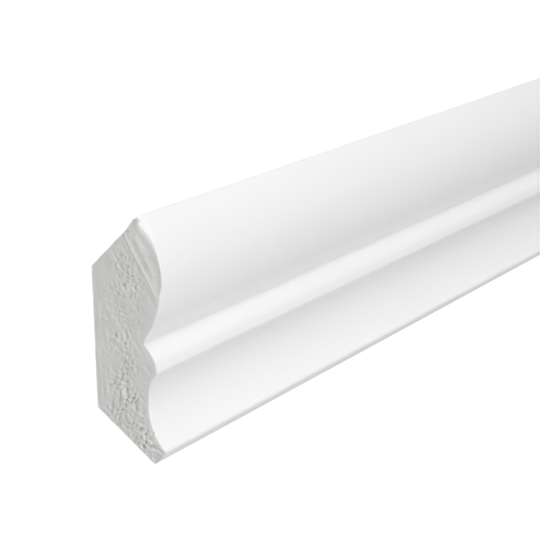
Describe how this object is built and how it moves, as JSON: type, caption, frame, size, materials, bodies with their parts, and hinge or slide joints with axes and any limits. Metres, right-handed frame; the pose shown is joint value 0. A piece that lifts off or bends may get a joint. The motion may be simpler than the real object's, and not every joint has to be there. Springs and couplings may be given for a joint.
{
  "type": "bed moulding",
  "caption": "Straight length of sprung bed moulding: ovolo, bead and cove on the face, flat back, and two square bevels that lie on wall and ceiling.",
  "frame": {"origin": "centre of the flat back, halfway along the length", "axes": "+X along the length, from the left end to the right end as seen from the front; +Y out of the flat back, so the moulded face looks towards -Y; +Z from the cove edge up to the ovolo edge. Fixed in its corner, the piece is turned 45 degrees about X, so that the upper bevel lies on the ceiling and the lower bevel on the wall"},
  "size_m": [0.4, 0.0146, 0.0508],
  "materials": {
    "white_moulding": "satin white skin on the moulded face and back, rough sawn ends"
  },
  "bodies": {
    "root": {"bed_moulding": "white_moulding"}
  },
  "joints": []
}
